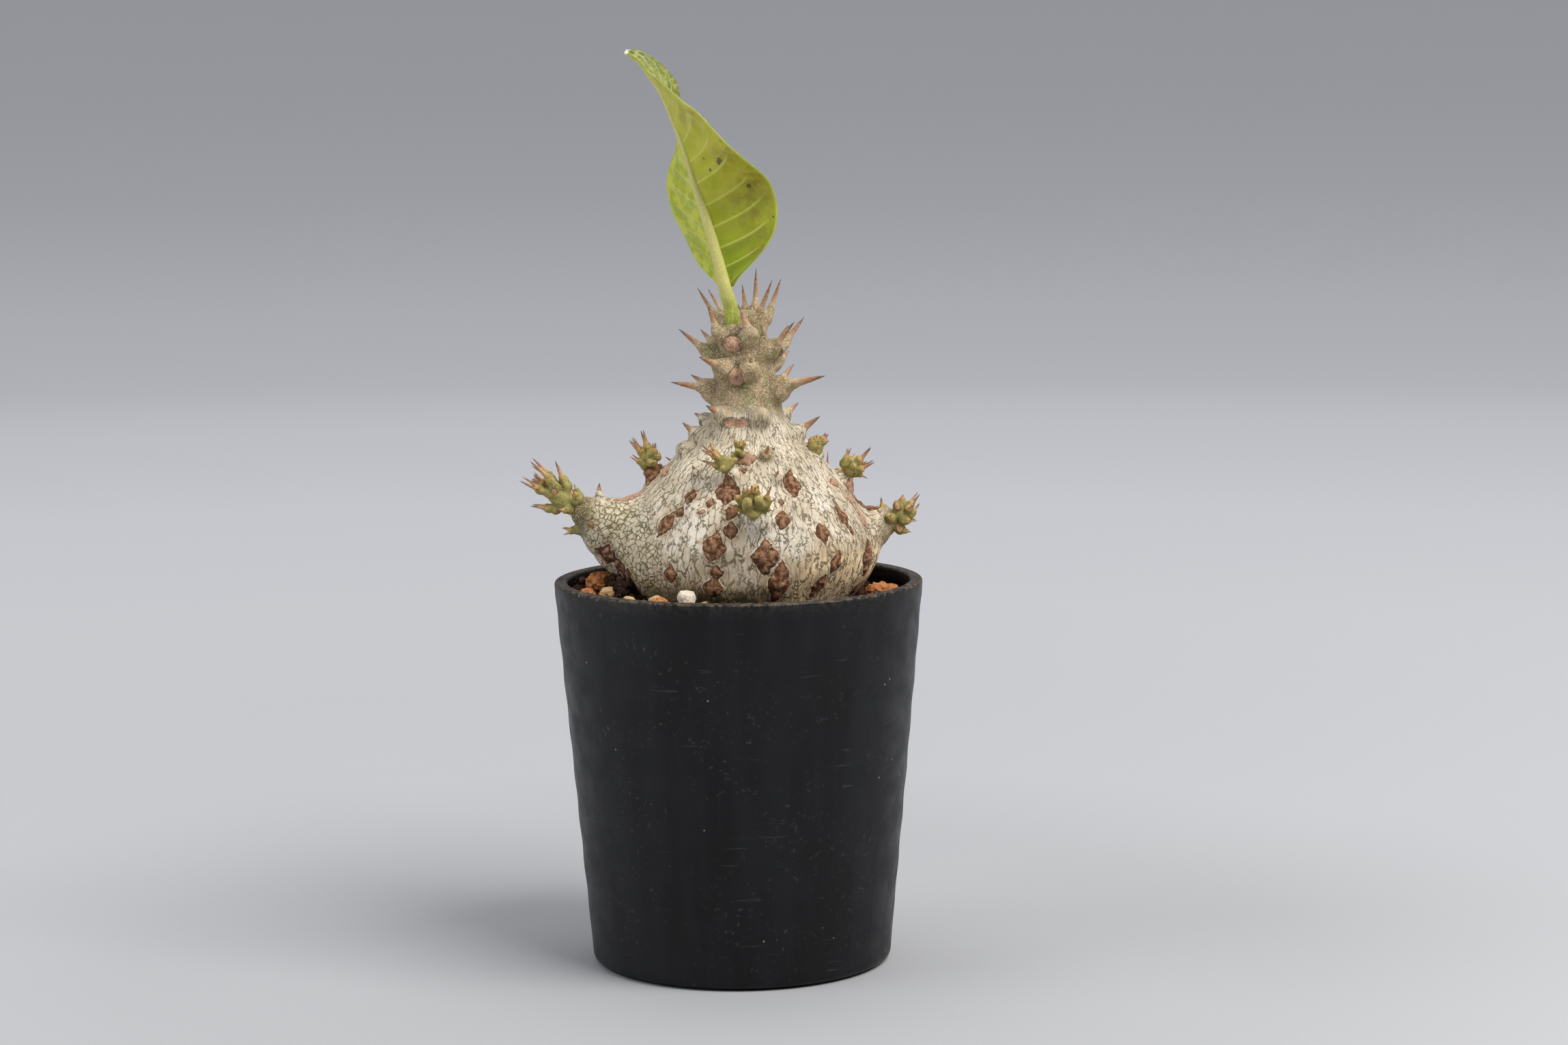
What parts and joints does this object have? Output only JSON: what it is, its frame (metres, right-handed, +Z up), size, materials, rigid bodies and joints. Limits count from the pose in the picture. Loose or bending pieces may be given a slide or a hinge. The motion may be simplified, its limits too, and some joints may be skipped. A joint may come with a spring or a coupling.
{
  "type": "potted pachypodium windsorii",
  "caption": "Young caudex succulent with a swollen barked trunk, spiny green shoots and a curled leaf, standing in gritty soil in a plain round black nursery pot.",
  "frame": {"origin": "centre of the whole part's footprint box, on the surface that the pot stands on", "axes": "+Z up along the pot's axis, -Y towards the side that the picture shows, +X to its right"},
  "size_m": [0.0816, 0.075, 0.1858],
  "materials": {
    "pot_plastic": "black injection-moulded plastic, satin, faintly rippled and scuffed",
    "soil_mix": "dark peat and fired clay granules, dull and loose",
    "bark": "silvery cream bark with fine dark cracks and flaking brown patches; spines orange-brown",
    "green_shoot": "downy green flesh with orange-brown spines",
    "leaf_green": "smooth bright yellow-green blade with pale veins",
    "fired_clay": "crumbly orange-brown clay, dull",
    "tan_pumice": "light tan porous grain, dull",
    "white_pumice": "off-white porous grain, dull"
  },
  "bodies": {
    "root": {"pot": "pot_plastic", "soil": "soil_mix", "caudex": "bark", "leaf": "leaf_green", "shoot_left": "green_shoot", "shoot_right": "green_shoot", "shoot_upper_left": "green_shoot", "shoot_front_upper": "green_shoot", "shoot_front": "green_shoot", "bud_front": "green_shoot", "shoot_upper_right": "green_shoot", "shoot_right_high": "green_shoot", "shoot_back_left": "green_shoot", "shoot_back_right": "green_shoot", "shoot_back": "green_shoot", "clod_orange_left": "fired_clay", "clod_brown_left": "fired_clay", "clod_orange_right": "fired_clay", "clod_orange_right_back": "fired_clay", "clod_back": "fired_clay", "pebble_brown_front": "fired_clay", "pebble_tan_left": "tan_pumice", "pebble_left_front": "tan_pumice", "pebble_tan_front": "tan_pumice", "pumice_white_front": "white_pumice", "pumice_back": "white_pumice"}
  },
  "joints": []
}
